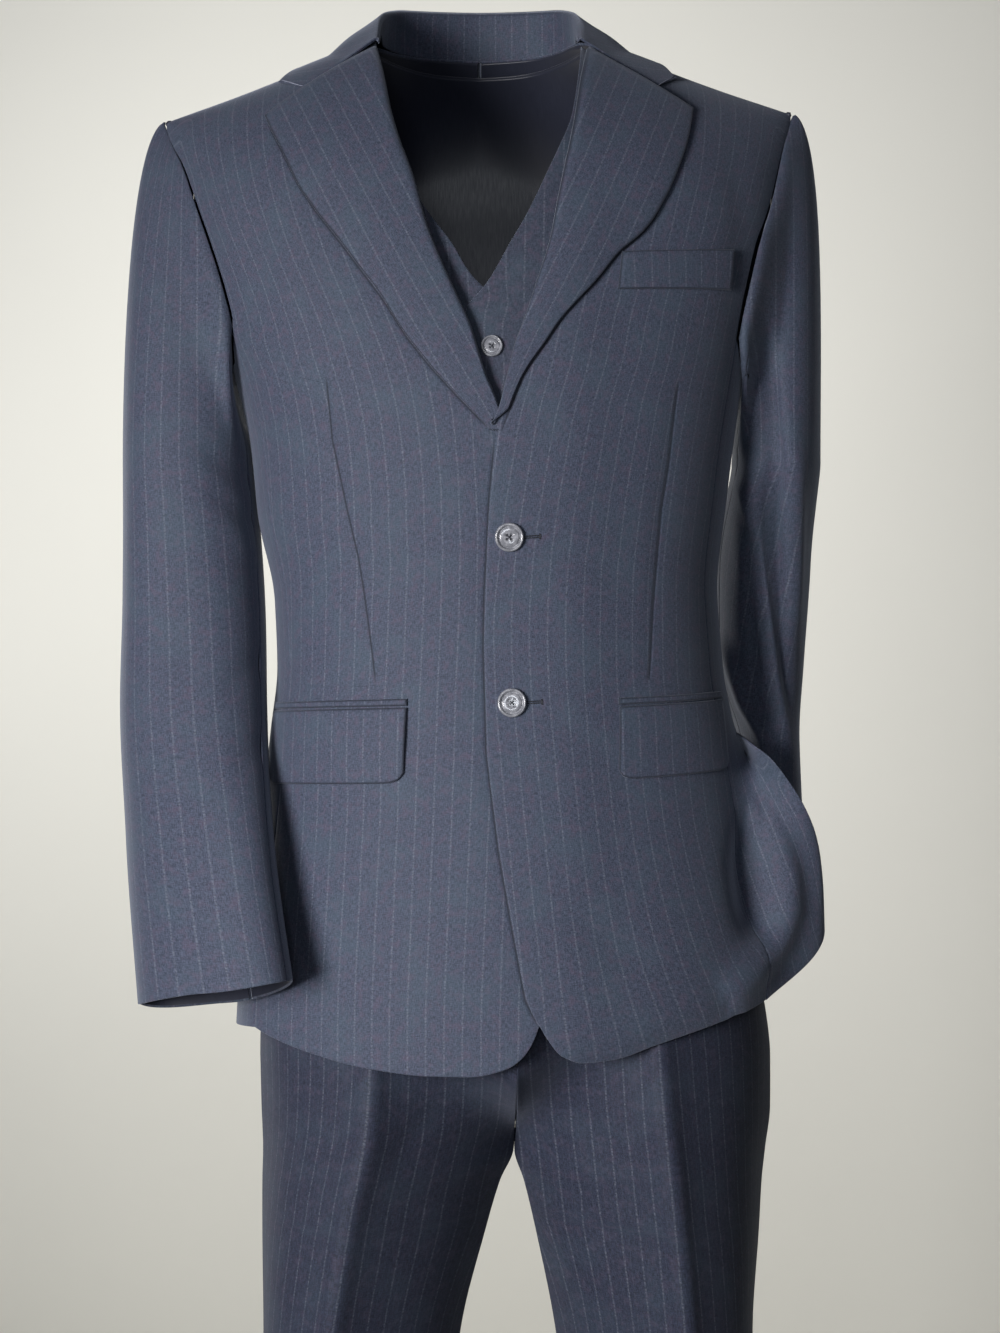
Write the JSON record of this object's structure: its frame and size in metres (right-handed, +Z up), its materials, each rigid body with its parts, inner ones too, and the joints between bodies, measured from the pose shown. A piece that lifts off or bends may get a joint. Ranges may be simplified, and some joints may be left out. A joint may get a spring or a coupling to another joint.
{
  "type": "three-piece suit",
  "caption": "Single-breasted notch-lapel jacket, waistcoat and creased trousers, filled out as worn, with one sleeve through the side vent.",
  "frame": {"origin": "middle of the neck opening, level with the shoulder seams at the neck", "axes": "+Z up along the wearer, -Y out of the front, +X to the wearer's left"},
  "size_m": [0.5281, 0.2947, 1.6328],
  "materials": {
    "jacket_cloth": "dark blue worsted wool with a fine pale dotted pinstripe",
    "waistcoat_cloth": "dark blue worsted wool with a fine pale dotted pinstripe",
    "trouser_cloth": "dark blue worsted wool with a fine pale dotted pinstripe",
    "buttons": "polished near-black"
  },
  "bodies": {
    "root": {"jacket_back_left": "jacket_cloth", "jacket_back_right": "jacket_cloth", "jacket_button_1": "buttons", "jacket_button_2": "buttons", "jacket_chest_welt": "jacket_cloth", "jacket_collar": "jacket_cloth", "jacket_flap_left": "jacket_cloth", "jacket_flap_right": "jacket_cloth", "jacket_front_left": "jacket_cloth", "jacket_front_right": "jacket_cloth", "jacket_jet_left": "jacket_cloth", "jacket_jet_right": "jacket_cloth", "jacket_lapel_left": "jacket_cloth", "jacket_lapel_right": "jacket_cloth", "jacket_side_left": "jacket_cloth", "jacket_side_right": "jacket_cloth", "jacket_top_sleeve_left": "jacket_cloth", "jacket_top_sleeve_right": "jacket_cloth", "jacket_under_sleeve_left": "jacket_cloth", "jacket_under_sleeve_right": "jacket_cloth", "trouser_back_left": "trouser_cloth", "trouser_back_right": "trouser_cloth", "trouser_front_left": "trouser_cloth", "trouser_front_right": "trouser_cloth", "trouser_waistband": "trouser_cloth", "waistcoat_back": "waistcoat_cloth", "waistcoat_button_1": "buttons", "waistcoat_button_2": "buttons", "waistcoat_button_3": "buttons", "waistcoat_button_4": "buttons", "waistcoat_button_5": "buttons", "waistcoat_front_left": "waistcoat_cloth", "waistcoat_front_right": "waistcoat_cloth"}
  },
  "joints": []
}
